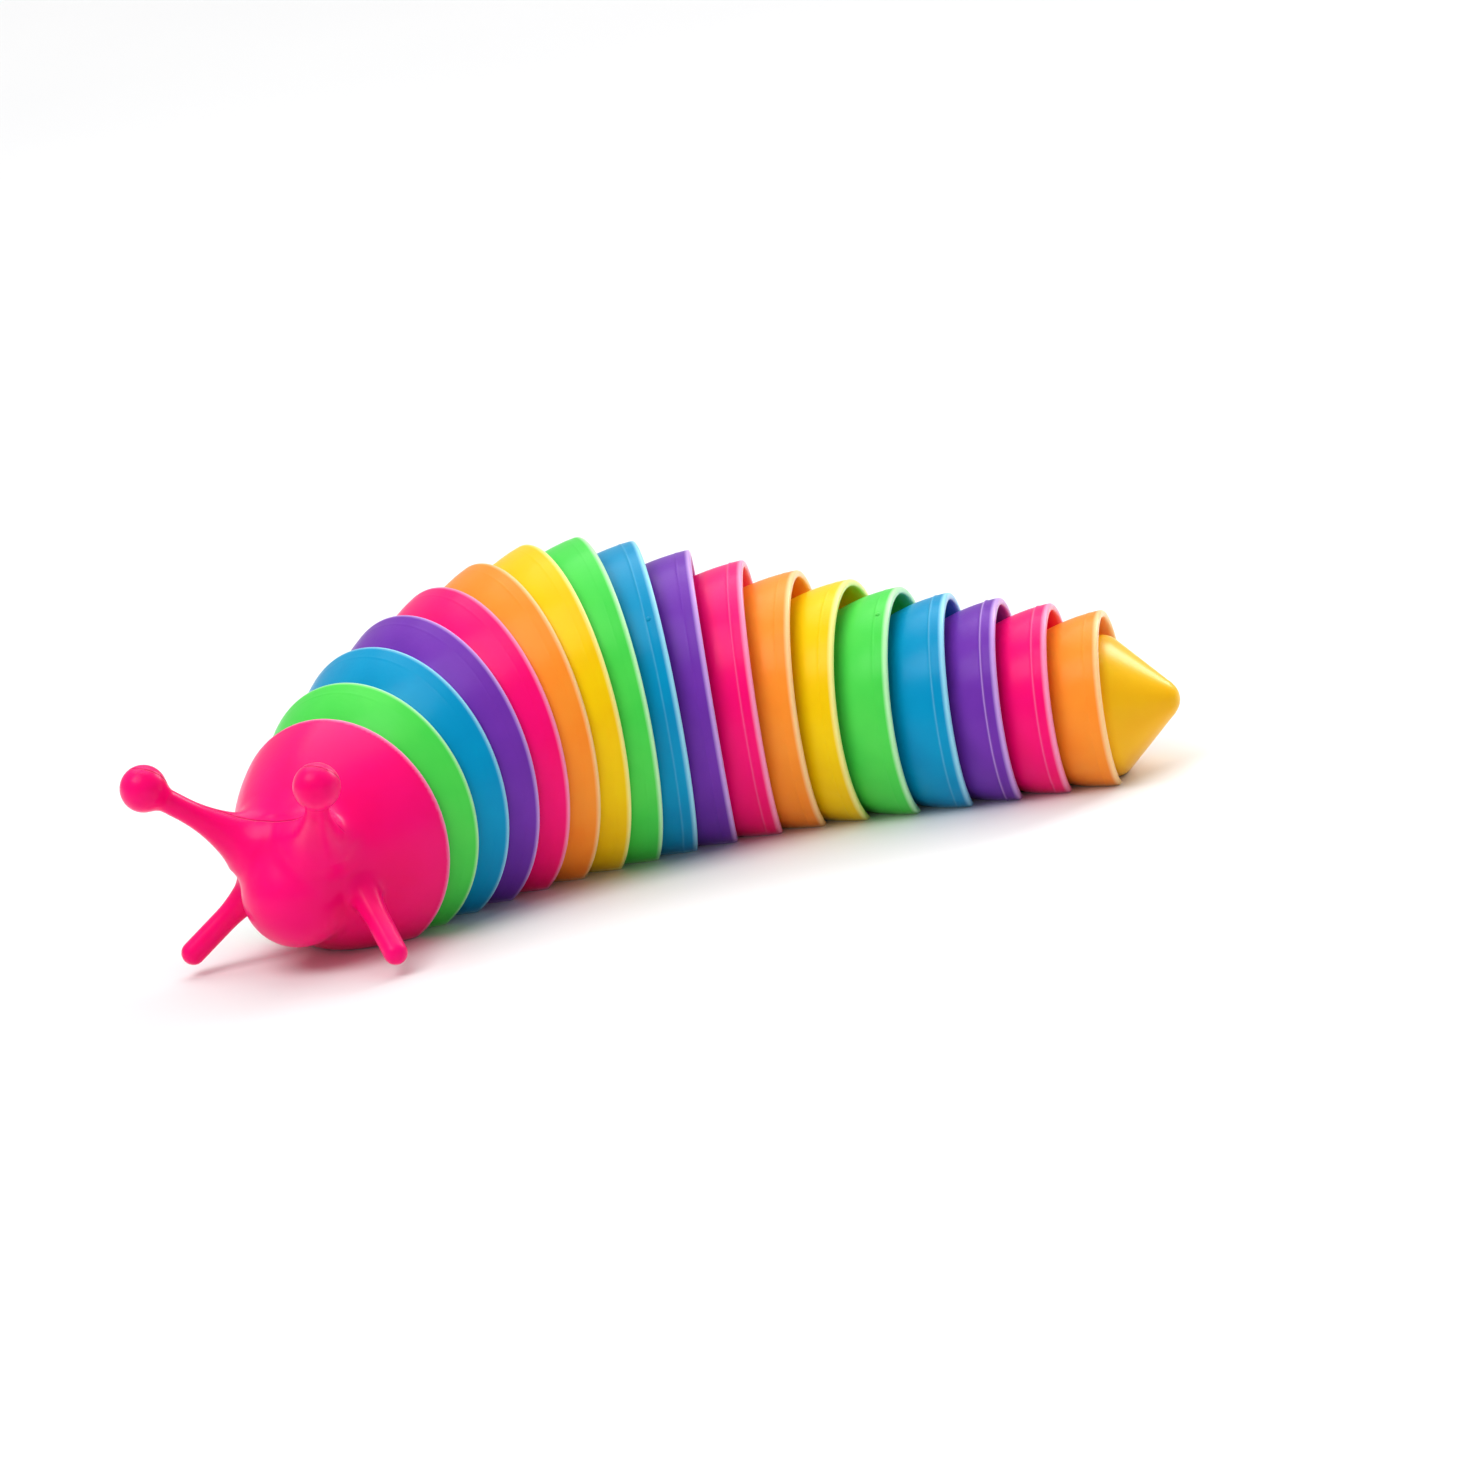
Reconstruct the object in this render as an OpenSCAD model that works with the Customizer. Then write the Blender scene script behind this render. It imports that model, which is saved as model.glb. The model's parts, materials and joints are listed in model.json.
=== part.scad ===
// Articulated slug toy: a head, seventeen nested cups and a tail tip, snapped together
// nose to tail. Neighbours share one upright pivot, so the whole body wriggles sideways.
// Millimetres, +Z up, head towards -X. The origin lies on the flat underside, at the middle
// of the cross bar of cup nine, and the toy rests on the plane z = 0.

/* [Body] */
// Distance from one cup rim to the next
cup_pitch = 7.7; // [7.6:0.1:8.2]
// Wall thickness of every moulding
wall = 1.1; // [0.9:0.1:1.2]
// Rim radius of the head, of each cup in order and of the tail tip
rim_radius = [
    19.0, 20.9, 22.7, 24.2, 25.4, 26.3, 26.8, 26.4, 25.1, 23.5,
    21.9, 20.4, 19.1, 18.0, 17.0, 16.0, 15.0, 13.9, 12.8
];
// Height of a rim's centre above the flat underside, as a share of its radius
belly_share = 0.84; // [0.80:0.01:0.88]
// Length of a cup from its rim forward to its open front edge
cup_depth = 11.6; // [11.2:0.1:12.0]

/* [Fit between cups] */
// Side gap between a rim and the next cup where the two are equally wide
side_gap = 1.2; // [1.2:0.1:1.5]
// Extra side gap for each millimetre that the next cup is wider
flare_gap = 0.7; // [0.7:0.05:0.8]
// Extra side gap for each millimetre that the next cup is narrower
taper_gap = 0.3; // [0.3:0.05:0.5]
// Angle by which a cup's wall bows out between its rim and its front
bow_angle = 8; // [7:1:9]

/* [Pivots] */
// Distance from a cup's rim forward to the pivot that carries it
pivot_back = 4.0; // [3.9:0.1:4.3]
// Radius of the pivot pegs
peg_radius = 1.2; // [1.0:0.1:1.3]
// Radial clearance of the pegs in their ears
peg_clearance = 0.07; // [0.03:0.01:0.10]
// Half the height of the tongue between the ears
tongue_half = 2.9; // [2.5:0.1:3.0]

/* [Head] */
// Length of the head from its rim to the tip of the muzzle
head_length = 20.5; // [20:0.1:21]
// Middle of an eye ball: ahead of the rim, out to the side, above the rim's centre
eye_at = [27, 15.7, 16.2];
// Radius of an eye ball
eye_radius = 3.6; // [3:0.1:4]
// Middle of a feeler's rounded end: ahead of the rim, out to the side, below the rim's centre
feeler_at = [18.6, 18.4, 12.4];
// Radius of a feeler
feeler_radius = 1.9; // [1.5:0.05:2]

/* [Pose] */
// Direction each piece points in, head first, measured from +X towards +Y
heading = [
    57, 50.5, 44, 37.5, 31, 24.5, 18, 11.5, 5, -1,
    -4.5, -10, -15.5, -14, -10, -10.5, -11, -11, -12
];

/* [Hidden] */
$fn = 96;
edge = 0.33;
ear_half = 2.3;
ear_inner = tongue_half + 0.3;
ear_outer = ear_inner + 2.0;
post_front = 7.3;
post_rear = 5.2;
bar_rear = 5.4;
bar_height = 1.4;
web_rear = 0.25;
web_front = 1.75;
home = 9;
muzzle_radius = 10.7;
chin_radius = 8.5;
tail_wall = 0.75;
bead_back = 2.1;

pink = [1.00, 0.15, 0.52];
green = [0.35, 0.86, 0.36];
blue = [0.02, 0.58, 0.84];
purple = [0.46, 0.22, 0.72];
orange = [1.00, 0.60, 0.22];
yellow = [0.97, 0.82, 0.08];

// Where each piece stands

function radius(n) = rim_radius[n - 1];
function along(n) = [cos(heading[n - 1]), sin(heading[n - 1])];
function axle_height(n) = belly_share * radius(n);
function chain(n) = n == 1
    ? [0, 0]
    : chain(n - 1) + (cup_pitch - pivot_back) * along(n - 1) + pivot_back * along(n);
function bar_middle() = (post_front + bar_rear) / 2;
function stand(n) = chain(n) - chain(home) + bar_middle() * along(home);

// A cup's wall is an arc: it leaves the rim at flare(n) and passes neck(n) at the next rim

function growth(n) = radius(n) - radius(n - 1);
function gap(n) = side_gap + (growth(n) > 0 ? flare_gap : -taper_gap) * growth(n);
function neck(n) = radius(n - 1) - wall - gap(n);
function chord_angle(n) = atan2(radius(n) - neck(n), cup_pitch);
function flare(n) = max(3, chord_angle(n) - bow_angle);
function chord(n) = norm([radius(n) - neck(n), cup_pitch]);
function arc_radius(n) = chord(n) / (2 * sin(chord_angle(n) - flare(n)));
function arc_ahead(n) = arc_radius(n) * sin(flare(n));
function arc_up(n) = radius(n) - arc_radius(n) * cos(flare(n));
function outer_radius(n, back) =
    arc_up(n) + sqrt(pow(arc_radius(n), 2) - pow(back + arc_ahead(n), 2));

// The head's wall is a long arc closed by a ball at the muzzle

head_arc = 45;
head_flare = 20;
function head_arc_ahead() = head_arc * sin(head_flare);
function head_arc_up() = radius(1) - head_arc * cos(head_flare);

module place(n) {
    at = stand(n);
    translate([at[0], at[1], axle_height(n)])
        rotate([0, 0, heading[n - 1]])
            children();
}

module lathe() {
    rotate([0, 90, 0])
        rotate_extrude()
            children();
}

module above_belly(n) {
    difference() {
        children();
        translate([-60, -60, -belly_share * radius(n) - 60])
            cube([120, 120, 60]);
    }
}

module box(low, high) {
    translate(low)
        cube(high - low);
}

// Region whose end at the rim has both of its edges taken off
module rim_outline(r, depth) {
    polygon([
        [2, -depth],
        [r + 2, -depth],
        [r + 2, -2 - edge],
        [r - edge, 0],
        [r - wall + edge, 0],
        [r - wall - 2, -2 - edge],
        [2, -2 - edge]
    ]);
}

module cup_wall_profile(n) {
    intersection() {
        difference() {
            translate([arc_up(n), arc_ahead(n)])
                circle(r = arc_radius(n));
            translate([arc_up(n), arc_ahead(n)])
                circle(r = arc_radius(n) - wall);
        }
        rim_outline(radius(n), cup_depth);
    }
}

module bead_profile(n) {
    translate([outer_radius(n, bead_back), -bead_back])
        polygon([[-0.3, -0.6], [0.15, -0.15], [0.15, 0.15], [-0.3, 0.6]]);
}

// Solid that ends inside the wall, so that bars and posts cut to it meet the wall
module cup_core(n) {
    lathe()
        intersection() {
            translate([arc_up(n), arc_ahead(n)])
                circle(r = arc_radius(n) - 0.4);
            translate([0, -cup_depth])
                square([radius(n) + 2, cup_depth]);
        }
}

module cup_posts(n) {
    low = -belly_share * radius(n);
    intersection() {
        union() {
            box([-post_front, -ear_half, ear_inner + 0.6], [-post_rear, ear_half, radius(n) + 2]);
            box([-post_front, -ear_half, low], [-post_rear, ear_half, -ear_inner - 0.6]);
            box([-post_front, -radius(n), low], [-bar_rear, radius(n), low + bar_height]);
        }
        cup_core(n);
    }
}

// Two ears, one above and one below, that hold the pegs of the piece ahead
module ears() {
    difference() {
        union() {
            box([-post_front, -ear_half, ear_inner], [-web_rear, ear_half, ear_outer]);
            box([-post_front, -ear_half, -ear_outer], [-web_rear, ear_half, -ear_inner]);
            box([-web_front, -ear_half, -ear_outer], [-web_rear, ear_half, ear_outer]);
        }
        translate([-pivot_back, 0, -ear_outer - 1])
            cylinder(r = peg_radius + peg_clearance, h = 2 * ear_outer + 2);
    }
}

// A tongue that reaches back to the next piece's pivot, with a peg up and a peg down
module tongue(n, root) {
    reach = cup_pitch - pivot_back;
    rise = axle_height(n + 1) - axle_height(n);
    translate([0, 0, rise]) {
        box([-root, -1.7, -tongue_half], [reach, 1.7, tongue_half]);
        translate([reach, 0, -tongue_half])
            cylinder(r = 1.9, h = 2 * tongue_half);
        translate([reach, 0, -ear_outer + 0.2])
            cylinder(r = peg_radius, h = 2 * ear_outer - 0.4);
    }
}

module cup(n, tint) {
    color(tint)
        place(n) {
            above_belly(n)
                union() {
                    lathe() {
                        cup_wall_profile(n);
                        if (n >= home)
                            bead_profile(n);
                    }
                    cup_posts(n);
                }
            ears();
            tongue(n, web_front - 0.4);
        }
}

module head_profile(inset) {
    intersection() {
        union() {
            intersection() {
                translate([head_arc_up(), head_arc_ahead()])
                    circle(r = head_arc - inset);
                translate([0, 4.2 - head_length])
                    square([radius(1) + 2, head_length - 4.2]);
            }
            translate([0, muzzle_radius - head_length])
                circle(r = muzzle_radius - inset);
        }
        translate([0, -head_length])
            square([radius(1) + 2, head_length]);
    }
}

module chin(inset) {
    translate([5.8 - head_length, 0, -3.9])
        sphere(r = chin_radius - inset);
}

module head_shell() {
    difference() {
        union() {
            lathe()
                intersection() {
                    difference() {
                        head_profile(0);
                        head_profile(wall);
                    }
                    union() {
                        rim_outline(radius(1), head_length);
                        translate([0, -head_length])
                            square([3, head_length - 6]);
                    }
                }
            difference() {
                chin(0);
                lathe()
                    head_profile(wall);
            }
        }
        chin(wall);
    }
}

// Solid rod from a to b whose radius goes from ra to rb
module rod(a, b, ra, rb) {
    d = b - a;
    translate(a)
        rotate([0, atan2(norm([d[0], d[1]]), d[2]), 0])
            cylinder(r1 = ra, r2 = rb, h = norm(d));
}

module aimed_rod(a, b, ra, rb) {
    d = b - a;
    translate(a)
        rotate([0, 0, atan2(d[1], d[0])])
            rod([0, 0, 0], [norm([d[0], d[1]]), 0, d[2]], ra, rb);
}

module eye_stalk(side) {
    foot = [-16.5, 6.6 * side, 4.6];
    ball = [-eye_at[0], eye_at[1] * side, eye_at[2]];
    aimed_rod(foot, foot + 0.5 * (ball - foot), 4.6, 1.9);
    aimed_rod(foot + 0.4 * (ball - foot), ball, 1.8, 1.8);
    translate(ball)
        sphere(r = eye_radius);
}

module feeler(side) {
    foot = [-12.2, 10 * side, -4.6];
    tip = [-feeler_at[0], feeler_at[1] * side, -feeler_at[2]];
    aimed_rod(foot, foot + 0.45 * (tip - foot), 3.8, feeler_radius + 0.1);
    aimed_rod(foot, tip, feeler_radius, feeler_radius);
    translate(tip)
        sphere(r = feeler_radius + 0.05);
}

module head() {
    color(pink)
        place(1) {
            above_belly(1)
                union() {
                    head_shell();
                    intersection() {
                        union() {
                            box([-24, -1.2, -20], [-8, 1.2, 20]);
                            box([-24, -1.7, -5], [-4, 1.7, 5]);
                        }
                        lathe()
                            head_profile(0.4);
                    }
                }
            tongue(1, 5);
            difference() {
                for (side = [-1, 1]) {
                    eye_stalk(side);
                    feeler(side);
                }
                lathe()
                    head_profile(wall - 0.3);
                chin(wall - 0.3);
            }
        }
}

module tail_profile(inset) {
    polygon([
        [0, -cup_depth - inset],
        [9.8 - inset, -cup_depth - inset],
        [11.0 - inset, -9.0 - 0.2 * inset],
        [11.3 - inset, -7.9 - 0.4 * inset],
        [2.3 - 0.8 * inset, 1.4 - 0.6 * inset],
        [0, 1.4 - 0.6 * inset]
    ]);
}

module tail_shell() {
    lathe()
        difference() {
            union() {
                tail_profile(0);
                intersection() {
                    translate([0, -0.8])
                        circle(r = 3.16);
                    square([4, 4]);
                }
            }
            tail_profile(tail_wall);
        }
}

module tail_posts() {
    low = -belly_share * radius(19);
    intersection() {
        union() {
            box([-post_front, -ear_half, ear_inner + 0.6], [-post_rear, ear_half, 20]);
            box([-post_front, -ear_half, low], [-post_rear, ear_half, -ear_inner - 0.6]);
            box([-post_front, -20, low], [-post_rear, 20, low + bar_height]);
        }
        lathe()
            tail_profile(0.4);
    }
}

module tail_tip() {
    color(yellow)
        place(19)
            above_belly(19)
                union() {
                    tail_shell();
                    tail_posts();
                    intersection() {
                        ears();
                        lathe()
                            tail_profile(0.4);
                    }
                }
}

head();
cup(2, green);  // cup_02_green
cup(3, blue);  // cup_03_blue
cup(4, purple);  // cup_04_purple
cup(5, pink);  // cup_05_pink
cup(6, orange);  // cup_06_orange
cup(7, yellow);  // cup_07_yellow
cup(8, green);  // cup_08_green
cup(9, blue);  // cup_09_blue
cup(10, purple);  // cup_10_purple
cup(11, pink);  // cup_11_pink
cup(12, orange);  // cup_12_orange
cup(13, yellow);  // cup_13_yellow
cup(14, green);  // cup_14_green
cup(15, blue);  // cup_15_blue
cup(16, purple);  // cup_16_purple
cup(17, pink);  // cup_17_pink
cup(18, orange);  // cup_18_orange
tail_tip();
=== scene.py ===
# Articulated slug toy: a pink head, seventeen nested cups and a tail tip in satin plastic.
# Each moulding is modelled in millimetres in its own frame: the origin at the middle of its
# rim, +X towards the tail, +Z up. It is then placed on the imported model's hinges.

import json
import math

import bmesh
import bpy
import numpy as np
from mathutils import Matrix, Vector

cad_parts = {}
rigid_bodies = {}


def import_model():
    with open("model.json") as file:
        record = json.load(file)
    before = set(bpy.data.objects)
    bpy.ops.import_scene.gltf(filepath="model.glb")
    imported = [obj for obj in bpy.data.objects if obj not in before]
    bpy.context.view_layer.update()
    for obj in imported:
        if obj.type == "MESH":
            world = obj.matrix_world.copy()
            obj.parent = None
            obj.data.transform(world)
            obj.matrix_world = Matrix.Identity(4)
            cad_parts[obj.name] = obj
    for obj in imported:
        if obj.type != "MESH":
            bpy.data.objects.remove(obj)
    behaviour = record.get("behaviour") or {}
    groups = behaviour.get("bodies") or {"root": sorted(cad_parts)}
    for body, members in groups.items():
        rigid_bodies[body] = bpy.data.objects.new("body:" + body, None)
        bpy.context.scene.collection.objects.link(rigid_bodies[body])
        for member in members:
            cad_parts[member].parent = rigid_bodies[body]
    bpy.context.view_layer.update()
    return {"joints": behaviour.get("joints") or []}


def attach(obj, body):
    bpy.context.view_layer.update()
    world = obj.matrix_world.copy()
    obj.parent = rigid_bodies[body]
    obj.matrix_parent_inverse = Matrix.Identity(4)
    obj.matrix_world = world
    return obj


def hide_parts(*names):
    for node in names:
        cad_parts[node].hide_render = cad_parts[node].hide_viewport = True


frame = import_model()

# The chain: walls, spacing, where a pivot lies behind a rim, how deep a cup is,
# and how high its middle stands as a share of its radius
MM = 0.001
WALL = 1.1
TAIL_WALL = 0.75
PITCH = 7.7
PIVOT_BACK = 4.0
REACH = PITCH - PIVOT_BACK
DEPTH = 11.6
BELLY = 0.84
RIM_RADIUS = [
    19.0, 20.9, 22.7, 24.2, 25.4, 26.3, 26.8, 26.4, 25.1, 23.5,
    21.9, 20.4, 19.1, 18.0, 17.0, 16.0, 15.0, 13.9, 12.8,
]
HEAD_HEADING = math.radians(57)
TAIL_HEADING = math.radians(-12)

# The raised line ahead of a rim, whose strength also sets a painted highlight along its crest, and
# the gate marks' turn from the top in degrees
BEAD_BACK = 2.3
BEAD_STRENGTH = {
    9: 0.6, 10: 0.4, 11: 0.7, 12: 0.3, 13: 0.3, 14: 0.3, 15: 0.7, 16: 1.3, 17: 0.8, 18: 0.3,
}
FAINT_BEAD = 0.15
GATE_TURN = {9: 46, 14: 24}

# The works inside a cup
EAR_HALF = 2.3
EAR_INNER, EAR_OUTER = 3.2, 5.2
EAR_BACK, WEB_THICK = 0.25, 1.5
POST_FRONT, POST_REAR = 7.3, 5.2
POST_FOOT = 3.8
BAR_REAR = 5.4
BAR_HEIGHT = 1.4
TONGUE_HALF, TONGUE_TALL, TONGUE_END = 1.7, 2.9, 1.9
PEG_RADIUS, PEG_TALL, PEG_HOLE = 1.2, 5.0, 1.27
SHELL_COLUMNS = 112

# The head; feet and tips are those of the stalk and feeler on its +Y side, and a taper is
# the radius at the foot, the radius beyond, and the share of the length that it takes
HEAD_ARC = 45.0
HEAD_FLARE = math.radians(20)
MUZZLE_AHEAD, MUZZLE_RADIUS = 9.8, 10.7
DOME_END = 16.3
CHIN, CHIN_RADIUS = (-14.7, 0.0, -3.9), 8.5
EYE_RADIUS = 3.6
EYE_FOOT = (-16.5, 6.6, 4.6)
EYE = (-27.0, 15.7, 16.2)
FEELER_FOOT = (-12.2, 10.0, -4.6)
FEELER_TIP = (-18.6, 18.4, -12.4)
EYE_TAPER = (4.6, 1.8, 0.62)
FEELER_TAPER = (2.9, 1.85, 0.5)

# The tail: where its cone starts (back from the rim, radius), and its rounded tip
CONE_BACK, CONE_RADIUS = 7.9, 11.3
TIP_BACK, TIP_RADIUS = 0.8, 3.17

# The parting line's plane through both eye stalks, in metres from the head's origin
SEAM_NORMAL = (0.741, 0, 0.671)
SEAM_PLACE = -0.0075

CAMERA_ELEVATION = 14
CAMERA_ROLL = 9.8
CAMERA_LENS = 238.2
CAMERA_DISTANCE = 1.5
CAMERA_TARGET = (0.0159, -0.0005, 0.0142)

JOINTS = frame["joints"]
ORDER = [JOINTS[0]["parent"]] + [j["child"] for j in JOINTS]
HINGES = [Vector(j["pos_m"]) / MM for j in JOINTS]
LAST = len(ORDER)


# ---------------------------------------------------------------- the frame of each moulding


def radius(n):
    return RIM_RADIUS[n - 1]


def axle_height(n):
    """How high a moulding's middle stands above its flat underside."""
    return BELLY * radius(n)


def heading(n):
    """The angle about Z of a moulding's axis."""
    if n == 1:
        return HEAD_HEADING
    if n == LAST:
        return TAIL_HEADING
    step = HINGES[n - 1] - HINGES[n - 2]
    return math.atan2(step.y, step.x)


def placed(n):
    """The matrix that takes a moulding from its own frame, in metres, to the shared frame."""
    a = heading(n)
    along = Vector((math.cos(a), math.sin(a), 0))
    if n == 1:
        rim = HINGES[0] - REACH * along
    else:
        rim = HINGES[n - 2] + PIVOT_BACK * along
    rim.z = axle_height(n)
    return Matrix.Translation(rim * MM) @ Matrix.Rotation(a, 4, "Z")


def wall_arc(n):
    """Middle and radius of the arc that a cup's outer wall follows in its (x, r) plane."""
    growth = radius(n) - radius(n - 1)
    gap = 1.2 + (0.7 if growth > 0 else -0.3) * growth
    neck = radius(n - 1) - WALL - gap
    chord_angle = math.atan2(radius(n) - neck, PITCH)
    flare = max(math.radians(3), chord_angle - math.radians(8))
    rho = math.hypot(radius(n) - neck, PITCH) / (2 * math.sin(chord_angle - flare))
    return rho * math.sin(flare), radius(n) - rho * math.cos(flare), rho


# ---------------------------------------------------------------- meshes from lathed profiles


def fillet(points, corners, segments=5):
    """The closed outline with arcs in place of the corners, given as {index: radius}."""
    out = []
    count = len(points)
    for i, p in enumerate(points):
        if i not in corners:
            out.append(p)
            continue
        p = np.array(p)
        a = np.array(points[i - 1]) - p
        b = np.array(points[(i + 1) % count]) - p
        a /= np.linalg.norm(a)
        b /= np.linalg.norm(b)
        half = math.acos(np.clip(a @ b, -1, 1)) / 2
        r = corners[i]
        middle = p + (a + b) / np.linalg.norm(a + b) * (r / math.sin(half))
        start = p + a * (r / math.tan(half)) - middle
        end = p + b * (r / math.tan(half)) - middle
        turn = math.pi - 2 * half
        for k in range(segments + 1):
            t = k / segments
            w = (math.sin((1 - t) * turn) * start + math.sin(t * turn) * end) / math.sin(turn)
            out.append(tuple(middle + w))
    return out


def cup_outline(n):
    """Closed (x, r) outline of a cup's wall, with the raised line ahead of its rim."""
    ahead, up, rho = wall_arc(n)
    bead = BEAD_STRENGTH.get(n, FAINT_BEAD)

    def outer(x):
        r = up + math.sqrt(rho**2 - (x - ahead) ** 2)
        ridge = math.exp(-(((x + BEAD_BACK) / 0.16) ** 2))
        lip = 1 / (1 + math.exp(-(x + BEAD_BACK) / 0.12))
        return r + bead * (0.13 * ridge + 0.04 * lip)

    def inner(x):
        return up + math.sqrt((rho - WALL) ** 2 - (x - ahead) ** 2)

    back = np.concatenate([
        np.linspace(-DEPTH + 0.7, -3.4, 10),
        -BEAD_BACK + np.array([-0.5, -0.3, -0.17, -0.08, 0, 0.08, 0.17, 0.3, 0.55]),
        np.array([-1.3, -0.95, -0.7]),
    ])
    front = np.linspace(-0.75, -DEPTH + 0.7, 9)
    points = [(x, outer(x)) for x in back]
    first = len(points)
    points += [(0.0, outer(0)), (0.0, inner(0))]
    points += [(x, inner(x)) for x in front]
    last = len(points)
    points += [(-DEPTH, inner(-DEPTH)), (-DEPTH, outer(-DEPTH))]
    return fillet(points, {first: 0.46, first + 1: 0.34, last: 0.3, last + 1: 0.4})


def with_crossings(points, level):
    """The closed outline with a point wherever r passes the level."""
    out = []
    for i, (x, r) in enumerate(points):
        out.append((x, r))
        x2, r2 = points[(i + 1) % len(points)]
        if (r - level) * (r2 - level) < 0:
            t = (level - r) / (r2 - r)
            out.append((x + t * (x2 - x), level))
    return out


def cut_lathe(points, level, columns):
    """Turns a closed (x, r) outline round the X axis and cuts it flat at z = -level."""
    points = with_crossings(points, level)
    bm = bmesh.new()
    rows = []
    for x, r in points:
        end = math.pi if r <= level + 1e-6 else math.acos(-level / r)
        row = []
        for k in range(columns + 1):
            a = end * (2 * k / columns - 1)
            row.append(bm.verts.new((x, r * math.sin(a), r * math.cos(a))))
        if end == math.pi:
            bm.verts.remove(row[-1])
            row[-1] = row[0]
        rows.append(row)
    for i, row in enumerate(rows):
        after = rows[(i + 1) % len(rows)]
        for k in range(columns):
            corners = []
            for v in (row[k], row[k + 1], after[k + 1], after[k]):
                if v not in corners:
                    corners.append(v)
            if len(corners) > 2 and not bm.faces.get(corners):
                bm.faces.new(corners)
    rim = [e for e in bm.edges if e.is_boundary]
    caps = bmesh.ops.holes_fill(bm, edges=rim, sides=0)["faces"]
    bmesh.ops.recalc_face_normals(bm, faces=bm.faces)
    border = sorted({e for f in caps for e in f.edges}, key=lambda e: e.index)
    bmesh.ops.bevel(
        bm, geom=border, offset=0.2, segments=2, profile=0.5, affect="EDGES", clamp_overlap=True
    )
    bmesh.ops.triangulate(bm, faces=[f for f in bm.faces if len(f.verts) > 4])
    return bm


# ---------------------------------------------------------------- meshes from distance fields


def length(v):
    return np.sqrt((v * v).sum(-1))


def ball(p, middle, r):
    return length(p - np.array(middle)) - r


def block(p, low, high, soft=0.3):
    """A box whose edges have the radius soft."""
    low, high = np.array(low, float), np.array(high, float)
    q = np.abs(p - (low + high) / 2) - (high - low) / 2 + soft
    return length(np.maximum(q, 0)) + np.minimum(q.max(-1), 0) - soft


def upright(p, x, r, low, high, soft=0.2):
    """A cylinder along Z."""
    side = np.hypot(p[:, 0] - x, p[:, 1]) - r + soft
    cap = np.abs(p[:, 2] - (low + high) / 2) - (high - low) / 2 + soft
    q = np.stack([side, cap], -1)
    return length(np.maximum(q, 0)) + np.minimum(q.max(-1), 0) - soft


def join(a, b, k):
    """Union with a fillet of about k."""
    h = np.maximum(k - np.abs(a - b), 0) / k
    return np.minimum(a, b) - h * h * k / 4


def meet(a, b, k):
    """Intersection with its edge rounded by about k."""
    return -join(-a, -b, k)


def net(field, low, high, step):
    """Quads round the field's zero surface, then evened out and drawn onto it."""
    axes = [np.arange(a, b + step, step) for a, b in zip(low, high)]
    grid = np.stack(np.meshgrid(*axes, indexing="ij"), -1)
    shape = grid.shape[:3]
    value = field(grid.reshape(-1, 3)).reshape(shape)
    cells = tuple(s - 1 for s in shape)
    total = np.zeros(cells + (3,))
    hits = np.zeros(cells)
    crossings = []
    for axis in range(3):
        lower = [slice(None)] * 3
        upper = [slice(None)] * 3
        lower[axis], upper[axis] = slice(0, -1), slice(1, None)
        f0, f1 = value[tuple(lower)], value[tuple(upper)]
        crossed = (f0 < 0) != (f1 < 0)
        t = np.where(crossed, f0 / np.where(crossed, f0 - f1, 1), 0)
        at = grid[tuple(lower)].copy()
        at[..., axis] += t * step
        u, v = [a for a in range(3) if a != axis]
        for du in (0, 1):
            for dv in (0, 1):
                pick = [slice(None)] * 3
                pick[u] = slice(du, shape[u] - 1 + du)
                pick[v] = slice(dv, shape[v] - 1 + dv)
                mask = crossed[tuple(pick)]
                total += at[tuple(pick)] * mask[..., None]
                hits += mask
        crossings.append((axis, crossed, f0 < 0))
    used = hits > 0
    number = np.full(cells, -1)
    number[used] = np.arange(used.sum())
    points = total[used] / hits[used][:, None]
    quads = []
    for axis, crossed, outward in crossings:
        u, v = (axis + 1) % 3, (axis + 2) % 3
        where = np.argwhere(crossed)
        where = where[(where[:, u] > 0) & (where[:, v] > 0)]
        where = where[(where[:, u] < shape[u] - 1) & (where[:, v] < shape[v] - 1)]
        ring = []
        for du, dv in ((1, 1), (0, 1), (0, 0), (1, 0)):
            c = where.copy()
            c[:, u] -= du
            c[:, v] -= dv
            ring.append(number[tuple(c.T)])
        ring = np.stack(ring, -1)
        flip = ~outward[tuple(where.T)]
        ring[flip] = ring[flip][:, ::-1]
        quads.append(ring)
    quads = np.concatenate(quads)
    return settle(field, points, quads), quads


def settle(field, points, quads):
    """Evens the points out among their neighbours and draws them onto the surface."""
    edges = np.concatenate([quads[:, [i, (i + 1) % 4]] for i in range(4)])
    count = np.bincount(edges.ravel(), minlength=len(points))[:, None]
    for turn in range(5):
        total = np.zeros_like(points)
        np.add.at(total, edges[:, 0], points[edges[:, 1]])
        np.add.at(total, edges[:, 1], points[edges[:, 0]])
        if turn < 3:
            points = points * 0.4 + 0.6 * total / np.maximum(count, 1)
        points = drawn(field, points)
    return points


def drawn(field, points):
    """The points moved along the field's slope to where it is zero."""
    value = field(points)
    slope = np.zeros_like(points)
    for axis in range(3):
        d = np.zeros(3)
        d[axis] = 0.02
        slope[:, axis] = (field(points + d) - field(points - d)) / 0.04
    steep = np.maximum((slope * slope).sum(-1), 0.2)
    move = -(value / steep)[:, None] * slope
    far = np.maximum(length(move), 1e-9)[:, None]
    return points + move * np.minimum(1, 0.3 / far)


# ---------------------------------------------------------------- the mouldings' fields


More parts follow.
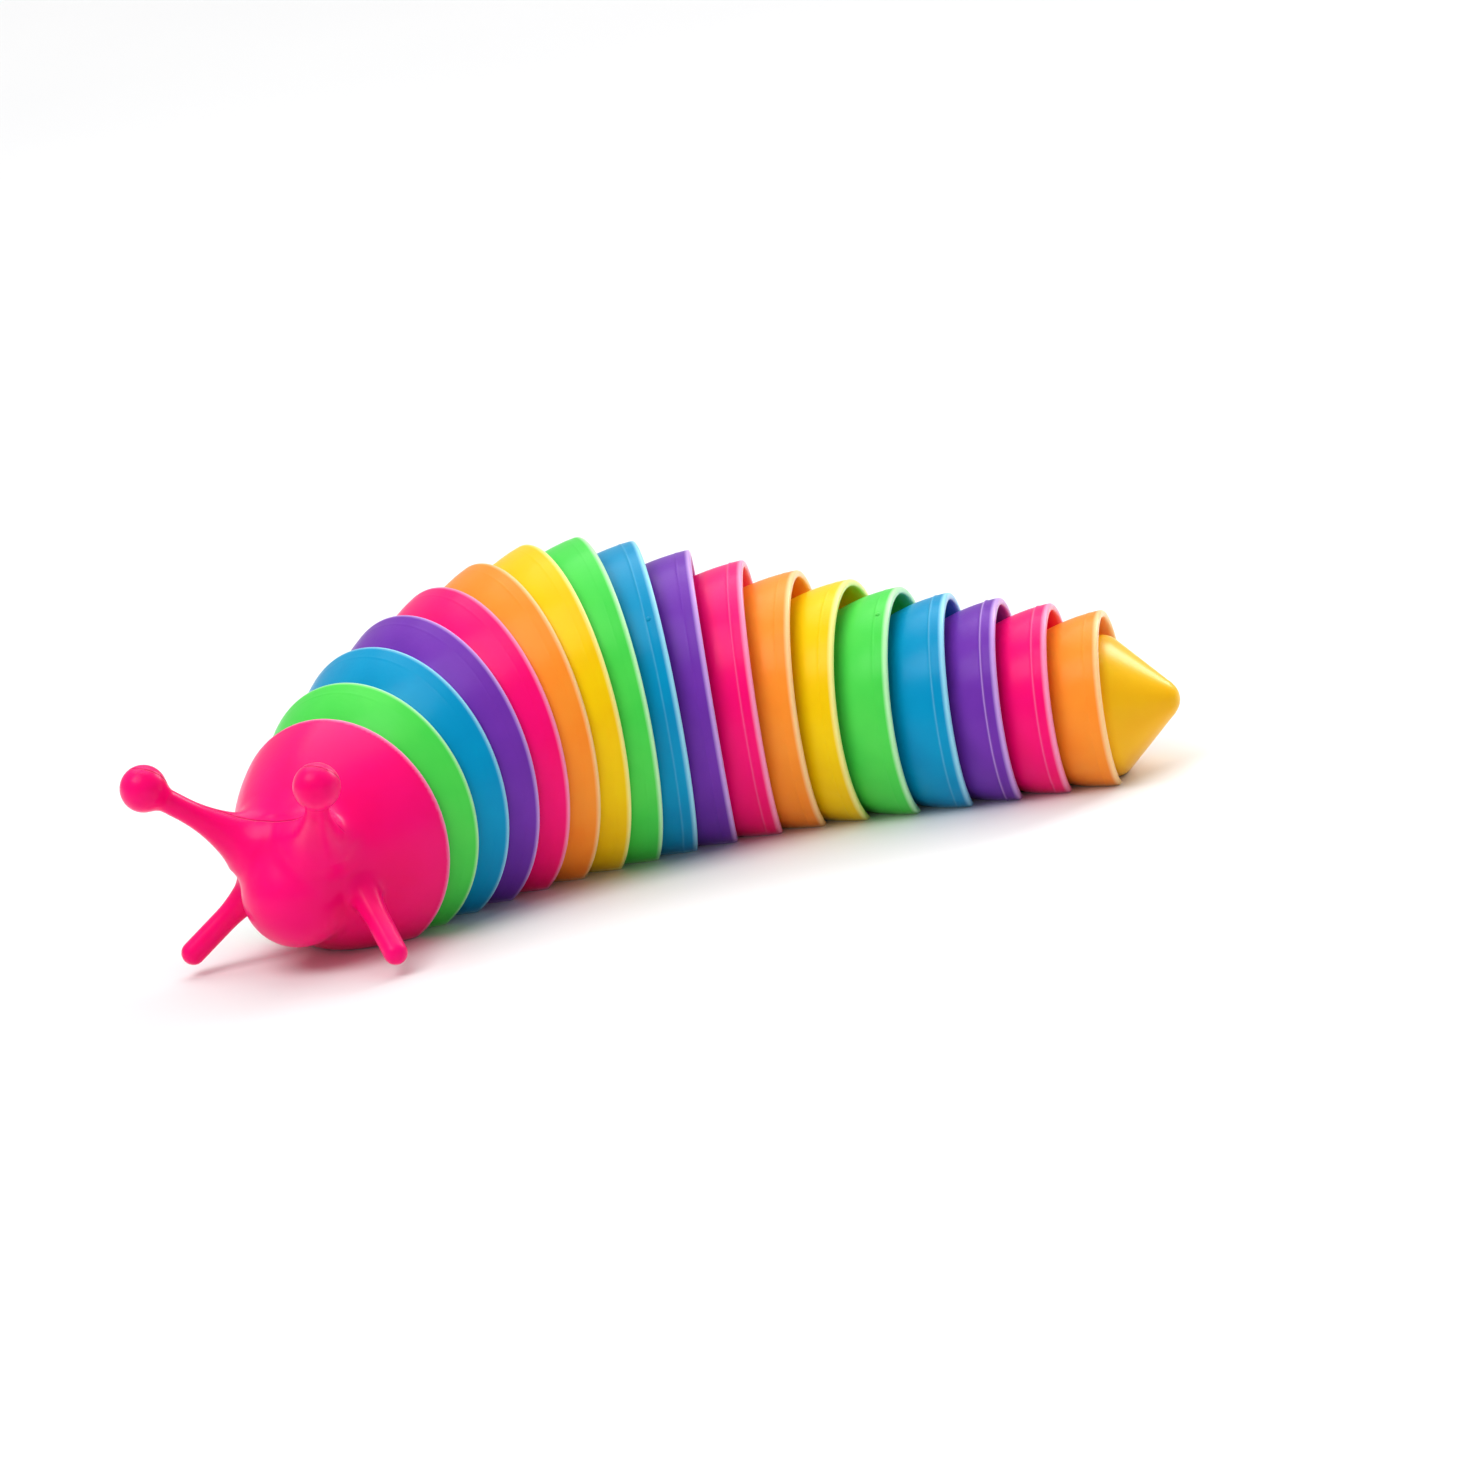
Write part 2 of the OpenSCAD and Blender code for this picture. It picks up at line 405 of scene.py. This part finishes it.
def pivot_parts(p, n, root):
    """The tongue and pegs that reach back to the next moulding's ears."""
    rise = axle_height(n + 1) - axle_height(n)
    q = p - np.array([0, 0, rise])
    d = block(q, (-root, -TONGUE_HALF, -TONGUE_TALL), (REACH, TONGUE_HALF, TONGUE_TALL))
    d = join(d, upright(q, REACH, TONGUE_END, -TONGUE_TALL, TONGUE_TALL, 0.3), 0.2)
    return join(d, upright(q, REACH, PEG_RADIUS, -PEG_TALL, PEG_TALL, 0.25), 0.25)


def ear_parts(p):
    """Two ears that hold the pegs of the moulding ahead, and the web that carries them."""
    upper = block(p, (-POST_FRONT, -EAR_HALF, EAR_INNER), (-EAR_BACK, EAR_HALF, EAR_OUTER))
    under = block(p, (-POST_FRONT, -EAR_HALF, -EAR_OUTER), (-EAR_BACK, EAR_HALF, -EAR_INNER))
    web_front = -EAR_BACK - WEB_THICK
    web = block(p, (web_front, -EAR_HALF, -EAR_OUTER), (-EAR_BACK, EAR_HALF, EAR_OUTER))
    d = join(join(upper, under, 0.2), web, 0.5)
    return meet(d, -(np.hypot(p[:, 0] + PIVOT_BACK, p[:, 1]) - PEG_HOLE), 0.2)


def post_parts(p, low, far):
    """Posts above and below the ears, and the bar across the underside, out to far."""
    d = block(p, (-POST_FRONT, -EAR_HALF, POST_FOOT), (-POST_REAR, EAR_HALF, far), 0.35)
    under = block(p, (-POST_FRONT, -EAR_HALF, low - 5), (-POST_REAR, EAR_HALF, -POST_FOOT), 0.35)
    bar = block(p, (-POST_FRONT, -far, low - 1), (-BAR_REAR, far, low + BAR_HEIGHT), 0.35)
    return join(join(d, under, 0.1), bar, 0.9)


def cup_works(n):
    """Everything inside a cup: cross bar, posts, ears and tongue."""
    ahead, up, rho = wall_arc(n)
    low = -axle_height(n)

    def field(p):
        r = np.hypot(p[:, 1], p[:, 2])
        core = np.hypot(p[:, 0] - ahead, r - up) - (rho - 0.45)
        d = np.maximum(post_parts(p, low, 60), core)
        d = meet(d, low - p[:, 2], 0.25)
        d = join(d, ear_parts(p), 0.7)
        return join(d, pivot_parts(p, n, 1.35), 0.4)

    reach = radius(n) + 1
    return field, (-8.2, -reach, low - 1), (REACH + 3, reach, reach)


def stalk(p, foot, tip, thick, thin, share):
    """A rod from foot to tip that is thick at its foot and thins over that share of it."""
    foot, tip = np.array(foot), np.array(tip)
    line = tip - foot
    t = np.clip((p - foot) @ line / (line @ line), 0, 1)
    r = thin + (thick - thin) * np.clip(1 - t / share, 0, 1) ** 2
    return length(p - foot - t[:, None] * line) - r


def head_body(p):
    """The head's outer surface without its stalks: a dome, the muzzle and the chin."""
    r = np.hypot(p[:, 1], p[:, 2])
    x = p[:, 0]
    ahead, up = HEAD_ARC * math.sin(HEAD_FLARE), radius(1) - HEAD_ARC * math.cos(HEAD_FLARE)
    dome = np.hypot(x - ahead, r - up) - HEAD_ARC
    dome = np.maximum(dome, -DOME_END - x)
    muzzle = np.hypot(x + MUZZLE_AHEAD, r) - MUZZLE_RADIUS
    return join(join(dome, muzzle, 0.4), ball(p, CHIN, CHIN_RADIUS), 1.6)


def head_field(p):
    """The whole head, hollow from the back, with a rib that carries its tongue."""
    low = -axle_height(1)
    body = head_body(p)
    d = body
    for side in (-1, 1):
        here = np.array((1, side, 1))
        rod = stalk(p, EYE_FOOT * here, EYE * here, *EYE_TAPER)
        d = join(d, join(rod, ball(p, EYE * here, EYE_RADIUS), 1.2), 3.2)
        d = join(d, stalk(p, FEELER_FOOT * here, FEELER_TIP * here, *FEELER_TAPER), 1.4)
    rib = np.maximum(block(p, (-24, -1.2, -20), (-8, 1.2, 20)), body + 0.5)
    root = np.maximum(block(p, (-24, -1.7, -5), (-4, 1.7, 5)), body + 0.5)
    d = meet(d, -(body + WALL), 0.3)
    d = join(d, join(rib, root, 0.8), 0.5)
    d = meet(d, p[:, 0], 0.75)
    d = meet(d, low - p[:, 2], 0.35)
    return join(d, pivot_parts(p, 1, 5.0), 0.5)


def tail_field(p):
    """The tail's outer surface: a cone with a rounded tip on a short tapered collar."""
    x, r = p[:, 0], np.hypot(p[:, 1], p[:, 2])
    cone = (x + CONE_BACK) * 0.695 + (r - CONE_RADIUS) * 0.719
    side = (x + 9.0) * -0.26 + (r - 11.03) * 0.966
    d = meet(cone, side, 1.6)
    d = np.maximum(d, -9 - x + (r - 11.0) * 0.6)
    tip = np.hypot(x + TIP_BACK, r) - TIP_RADIUS
    d = np.where(x > 1.4, tip, join(d, tip, 0.2))
    return meet(d, -DEPTH - x, 0.6)


# ---------------------------------------------------------------- materials


def linear(r, g, b):
    """A linear colour from screen values of 0 to 255."""
    def one(c):
        c /= 255
        return c / 12.92 if c <= 0.04045 else ((c + 0.055) / 1.055) ** 2.4

    return (one(r), one(g), one(b), 1.0)


def colour_mix(nodes, links, factor, a, b):
    made = nodes.new("ShaderNodeMix")
    made.data_type = "RGBA"
    links.new(factor, made.inputs[0])
    for socket, value in ((made.inputs[6], a), (made.inputs[7], b)):
        if isinstance(value, tuple):
            socket.default_value = value
        else:
            links.new(value, socket)
    return made.outputs[2]


def ranged(nodes, links, value, low, high, to_low, to_high):
    made = nodes.new("ShaderNodeMapRange")
    links.new(value, made.inputs["Value"])
    for name, number in (
        ("From Min", low), ("From Max", high), ("To Min", to_low), ("To Max", to_high)
    ):
        made.inputs[name].default_value = number
    return made.outputs["Result"]


def noise(nodes, links, coordinates, scale, detail, stretch=None):
    if stretch:
        turned = nodes.new("ShaderNodeMapping")
        turned.inputs["Scale"].default_value = stretch
        links.new(coordinates, turned.inputs["Vector"])
        coordinates = turned.outputs["Vector"]
    made = nodes.new("ShaderNodeTexNoise")
    made.inputs["Scale"].default_value = scale
    made.inputs["Detail"].default_value = detail
    links.new(coordinates, made.inputs["Vector"])
    return made.outputs["Fac"]


def parting_line(nodes, links, where):
    """1 on the fine line that the mould leaves across the head and along the eye stalks."""
    across = nodes.new("ShaderNodeVectorMath")
    across.operation = "DOT_PRODUCT"
    across.inputs[1].default_value = SEAM_NORMAL
    links.new(where, across.inputs[0])
    off = nodes.new("ShaderNodeMath")
    off.operation = "SUBTRACT"
    off.inputs[1].default_value = SEAM_PLACE
    links.new(across.outputs["Value"], off.inputs[0])
    size = nodes.new("ShaderNodeMath")
    size.operation = "ABSOLUTE"
    links.new(off.outputs[0], size.inputs[0])
    line = ranged(nodes, links, size.outputs[0], 0.00004, 0.00017, 1.0, 0.0)
    split = nodes.new("ShaderNodeSeparateXYZ")
    links.new(where, split.inputs[0])
    upper = ranged(nodes, links, split.outputs["Z"], 0.005, 0.0075, 0.0, 1.0)
    both = nodes.new("ShaderNodeMath")
    both.operation = "MULTIPLY"
    links.new(line, both.inputs[0])
    links.new(upper, both.inputs[1])
    return both.outputs[0]


def satin_plastic(name, body, deep, pale, rings=0.035, parted=False):
    """Moulded plastic: clouded colour, a painted highlight on thin edges, fine grain and faint
    turning marks.
    """
    m = bpy.data.materials.new(name)
    m.use_nodes = True
    nodes, links = m.node_tree.nodes, m.node_tree.links
    nodes.clear()
    out = nodes.new("ShaderNodeOutputMaterial")
    shader = nodes.new("ShaderNodeBsdfPrincipled")
    links.new(shader.outputs[0], out.inputs[0])
    where = nodes.new("ShaderNodeTexCoord").outputs["Object"]
    cloud = noise(nodes, links, where, 70, 3)
    marks = noise(nodes, links, where, 1, 4, (2600, 45, 45))
    grain = noise(nodes, links, where, 1700, 2)
    # the pale attribute holds where the painted edge highlight lies
    edge = nodes.new("ShaderNodeAttribute")
    edge.attribute_name = "pale"
    colour = colour_mix(
        nodes, links, ranged(nodes, links, cloud, 0.3, 0.75, 0.0, 1.0), body, deep
    )
    # painted highlight: mixes towards the pale tint on rims, cut edges and bead crests
    colour = colour_mix(
        nodes, links, ranged(nodes, links, edge.outputs["Fac"], 0.0, 1.0, 0.0, 0.72), colour, pale
    )
    if parted:
        line = parting_line(nodes, links, where)
        shade = tuple(0.5 * c for c in deep[:3]) + (1.0,)
        colour = colour_mix(
            nodes, links, ranged(nodes, links, line, 0.0, 1.0, 0.0, 0.55), colour, shade
        )
    links.new(colour, shader.inputs["Base Color"])
    rough = ranged(nodes, links, marks, 0.3, 0.75, 0.29, 0.33)
    links.new(rough, shader.inputs["Roughness"])
    first = nodes.new("ShaderNodeBump")
    first.inputs["Strength"].default_value = rings
    first.inputs["Distance"].default_value = 0.00006
    links.new(marks, first.inputs["Height"])
    second = nodes.new("ShaderNodeBump")
    second.inputs["Strength"].default_value = 0.22
    second.inputs["Distance"].default_value = 0.00005
    links.new(grain, second.inputs["Height"])
    links.new(first.outputs[0], second.inputs["Normal"])
    normal = second.outputs[0]
    if parted:
        third = nodes.new("ShaderNodeBump")
        third.invert = True
        third.inputs["Strength"].default_value = 0.8
        third.inputs["Distance"].default_value = 0.0002
        links.new(line, third.inputs["Height"])
        links.new(normal, third.inputs["Normal"])
        normal = third.outputs[0]
    links.new(normal, shader.inputs["Normal"])
    shader.inputs["Subsurface Weight"].default_value = 0.28
    shader.inputs["Subsurface Radius"].default_value = (1.0, 0.6, 0.5)
    shader.inputs["Subsurface Scale"].default_value = 0.0016
    shader.inputs["Coat Weight"].default_value = 0.05
    shader.inputs["Coat Roughness"].default_value = 0.16
    shader.inputs["IOR"].default_value = 1.45
    shader.inputs["Specular IOR Level"].default_value = 0.3
    shader.inputs["Specular Tint"].default_value = (*(0.25 + 0.75 * c for c in body[:3]), 1.0)
    return m


# Each colour: body, a deeper tone for random clouding, and the pale tint painted as highlight on
# rims, cut edges and bead crests
COLOURS = {
    "pink": (linear(255, 10, 120), linear(248, 2, 106), linear(255, 176, 212)),
    "green": (linear(84, 218, 84), linear(58, 206, 72), linear(214, 255, 208)),
    "blue": (linear(0, 152, 200), linear(0, 134, 186), linear(176, 238, 255)),
    "purple": (linear(118, 54, 176), linear(100, 42, 158), linear(222, 184, 246)),
    "orange": (linear(255, 152, 50), linear(255, 134, 32), linear(255, 224, 168)),
    "yellow": (linear(250, 208, 6), linear(240, 188, 2), linear(255, 248, 168)),
    "yellow_tail": (linear(255, 198, 22), linear(248, 176, 12), linear(255, 240, 150)),
}
PLASTIC = {
    name: satin_plastic(name, *COLOURS[name])
    for name in ("pink", "green", "blue", "purple", "orange", "yellow")
}
HEAD_PINK = satin_plastic("pink_head", *COLOURS["pink"], rings=0.006, parted=True)
TAIL_YELLOW = satin_plastic("yellow_tail", *COLOURS["yellow_tail"], rings=0.01)


def floor_material():
    m = bpy.data.materials.new("pale_floor")
    m.use_nodes = True
    nodes, links = m.node_tree.nodes, m.node_tree.links
    shader = nodes["Principled BSDF"]
    where = nodes.new("ShaderNodeTexCoord").outputs["Object"]
    cloud = noise(nodes, links, where, 6, 2)
    tone = colour_mix(nodes, links, cloud, (0.79, 0.79, 0.795, 1), (0.83, 0.83, 0.83, 1))
    links.new(tone, shader.inputs["Base Color"])
    shader.inputs["Roughness"].default_value = 0.7
    return m


# ---------------------------------------------------------------- putting pieces in the scene


def finish_mesh(name, mesh, n, pale):
    """Paints the edge highlight, smooths the shading, places the piece and lets it ride."""
    points = np.zeros(len(mesh.vertices) * 3)
    mesh.vertices.foreach_get("co", points)
    points = points.reshape(-1, 3)
    # the pale attribute stores the strength of the painted edge highlight
    layer = mesh.attributes.new("pale", "FLOAT", "POINT")
    layer.data.foreach_set("value", np.clip(pale(points), 0, 1).astype(np.float32))
    mesh.transform(Matrix.Scale(MM, 4))
    mesh.shade_smooth()
    mesh.set_sharp_from_angle(angle=math.radians(38))
    tint = ORDER[n - 1].split("_")[-1] if 1 < n < LAST else ("pink" if n == 1 else "yellow")
    mesh.materials.append({1: HEAD_PINK, LAST: TAIL_YELLOW}.get(n) or PLASTIC[tint])
    piece = bpy.data.objects.new(name, mesh)
    bpy.context.scene.collection.objects.link(piece)
    piece.matrix_world = placed(n)
    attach(piece, ORDER[n - 1])
    return piece


def mesh_of(name, points, faces):
    mesh = bpy.data.meshes.new(name)
    mesh.from_pydata(points.tolist(), [], faces.tolist())
    mesh.validate()
    return mesh


def painted_edge_highlight(n):
    """Painted highlight where a wall ends, at the rim and along the flat underside's edge: a paler
    colour standing in for light caught by the rounded edge and glowing through the thin wall, plus
    a painted highlight along the raised line's crest.
    """
    low = -axle_height(n)
    bead = BEAD_STRENGTH.get(n, 0)

    def pale(p):
        # painted highlight: paler colour at the rim, along the underside's cut edge and on the
        # raised line's crest
        rim = np.clip(1.35 + (p[:, 0] + 0.2) / 0.55, 0, 1)
        cut = 0.9 * np.exp(-np.maximum(p[:, 2] - low - 0.1, 0) / 0.25)
        # painted highlight along the raised line's crest, where it catches the light
        crest = max(0.8 * bead - 0.32, 0) * np.exp(-(((p[:, 0] + BEAD_BACK) / 0.12) ** 2))
        return np.maximum(np.maximum(rim, cut), crest)

    return pale


def gate_mark(bm, n, turn):
    """The small nub that the moulding gate leaves on a cup's outside, turned from the top."""
    ahead, up, rho = wall_arc(n)
    x = -BEAD_BACK + 0.5
    r = up + math.sqrt(rho**2 - (x - ahead) ** 2) - 0.05
    a = math.radians(turn)
    stand = Matrix.Translation((x, -r * math.sin(a), r * math.cos(a))) @ Matrix.Rotation(a, 4, "X")
    outline = [(0.42, -0.2), (0.42, 0.06), (0.34, 0.15), (0.18, 0.2)]
    rings = []
    for radial, high in outline:
        rings.append([
            bm.verts.new(stand @ Vector((radial * math.cos(t), radial * math.sin(t), high)))
            for t in np.arange(16) * math.tau / 16
        ])
    for low, high in zip(rings, rings[1:]):
        for k in range(16):
            bm.faces.new((low[k], low[(k + 1) % 16], high[(k + 1) % 16], high[k]))
    bm.faces.new(rings[-1])
    bm.faces.new(rings[0][::-1])


def make_cup(n):
    node = ORDER[n - 1]
    bm = cut_lathe(cup_outline(n), axle_height(n), SHELL_COLUMNS)
    if n in GATE_TURN:
        gate_mark(bm, n, GATE_TURN[n])
    mesh = bpy.data.meshes.new(node + "_shell")
    bm.to_mesh(mesh)
    bm.free()
    # the shell carries the painted edge highlight on its rim, underside edge and raised line
    shell = finish_mesh(node + "_shell", mesh, n, painted_edge_highlight(n))
    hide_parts(node)
    field, low, high = cup_works(n)
    points, quads = net(field, low, high, 0.5)
    works = mesh_of(node + "_pivot", points, quads)
    finish_mesh(node + "_pivot", works, n, lambda p: np.zeros(len(p)))


def make_head():
    points, quads = net(head_field, (-32, -22, -17.5), (7, 22, 21.5), 0.42)
    # the head carries the painted edge highlight on its rim and underside edge
    piece = finish_mesh("head_moulding", mesh_of("head", points, quads), 1, painted_edge_highlight(1))
    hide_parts(ORDER[0])


def make_tail():
    low = -axle_height(LAST)

    def field(p):
        solid = tail_field(p)
        d = meet(solid, -(solid + TAIL_WALL), 0.3)
        inside = join(post_parts(p, low, 20), ear_parts(p), 0.7)
        d = join(d, np.maximum(inside, solid + 0.4), 0.4)
        front = -DEPTH - p[:, 0]
        d = meet(d, front, 0.5)
        return meet(d, low - p[:, 2], 0.35)

    points, quads = net(field, (-12.6, -12.6, low - 1), (3.6, 12.6, 12.6), 0.4)
    piece = finish_mesh(
        "tail_moulding", mesh_of("tail", points, quads), LAST, lambda p: np.zeros(len(p))
    )
    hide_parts(ORDER[-1])


def make_floor():
    bm = bmesh.new()
    bmesh.ops.create_grid(bm, x_segments=8, y_segments=8, size=12)
    mesh = bpy.data.meshes.new("floor")
    bm.to_mesh(mesh)
    bm.free()
    mesh.materials.append(floor_material())
    floor = bpy.data.objects.new("floor", mesh)
    bpy.context.scene.collection.objects.link(floor)


# ---------------------------------------------------------------- light and camera


def soft_light(name, at, target, size, power):
    data = bpy.data.lights.new(name, "AREA")
    data.shape = "RECTANGLE"
    data.size, data.size_y = size
    data.energy = power
    lamp = bpy.data.objects.new(name, data)
    lamp.location = at
    lamp.rotation_mode = "QUATERNION"
    lamp.rotation_quaternion = (Vector(target) - Vector(at)).to_track_quat("-Z", "Y")
    bpy.context.scene.collection.objects.link(lamp)


def soft_sun(name, direction, angle, strength):
    data = bpy.data.lights.new(name, "SUN")
    data.energy = strength
    data.angle = math.radians(angle)
    lamp = bpy.data.objects.new(name, data)
    lamp.rotation_mode = "QUATERNION"
    lamp.rotation_quaternion = Vector(direction).to_track_quat("-Z", "Y")
    bpy.context.scene.collection.objects.link(lamp)


def light_studio():
    soft_sun("key", (0.34, 0.36, -0.9), 38, 1.35)
    soft_sun("top", (-0.12, -0.42, -0.9), 60, 1.5)
    soft_light("glow", (-0.35, -0.2, 0.5), (0.0, -0.01, 0.02), (0.25, 0.25), 0.6)
    soft_light("back", (0.42, 0.3, 0.3), (0.05, 0.0, 0.02), (0.2, 0.25), 1.6)
    world = bpy.data.worlds.new("studio")
    world.use_nodes = True
    sky = world.node_tree.nodes["Background"]
    sky.inputs["Color"].default_value = (1, 1, 1, 1)
    sky.inputs["Strength"].default_value = 0.38
    bpy.context.scene.world = world
    bpy.context.scene.view_settings.view_transform = "Standard"


def aim_camera():
    elevation, roll = math.radians(CAMERA_ELEVATION), math.radians(CAMERA_ROLL)
    ahead = Vector((0, math.cos(elevation), -math.sin(elevation)))
    right = Vector((1, 0, 0))
    up = Vector((0, math.sin(elevation), math.cos(elevation)))
    side = math.cos(roll) * right - math.sin(roll) * up
    top = math.sin(roll) * right + math.cos(roll) * up
    data = bpy.data.cameras.new("camera")
    data.sensor_width = 36
    data.lens = CAMERA_LENS
    data.clip_end = 50
    camera = bpy.data.objects.new("camera", data)
    stand = Vector(CAMERA_TARGET) - CAMERA_DISTANCE * ahead
    turned = Matrix((side, top, -ahead)).transposed().to_4x4()
    camera.matrix_world = Matrix.Translation(stand) @ turned
    bpy.context.scene.collection.objects.link(camera)
    bpy.context.scene.camera = camera


make_head()
for number in range(2, LAST):
    make_cup(number)
make_tail()
make_floor()
light_studio()
aim_camera()
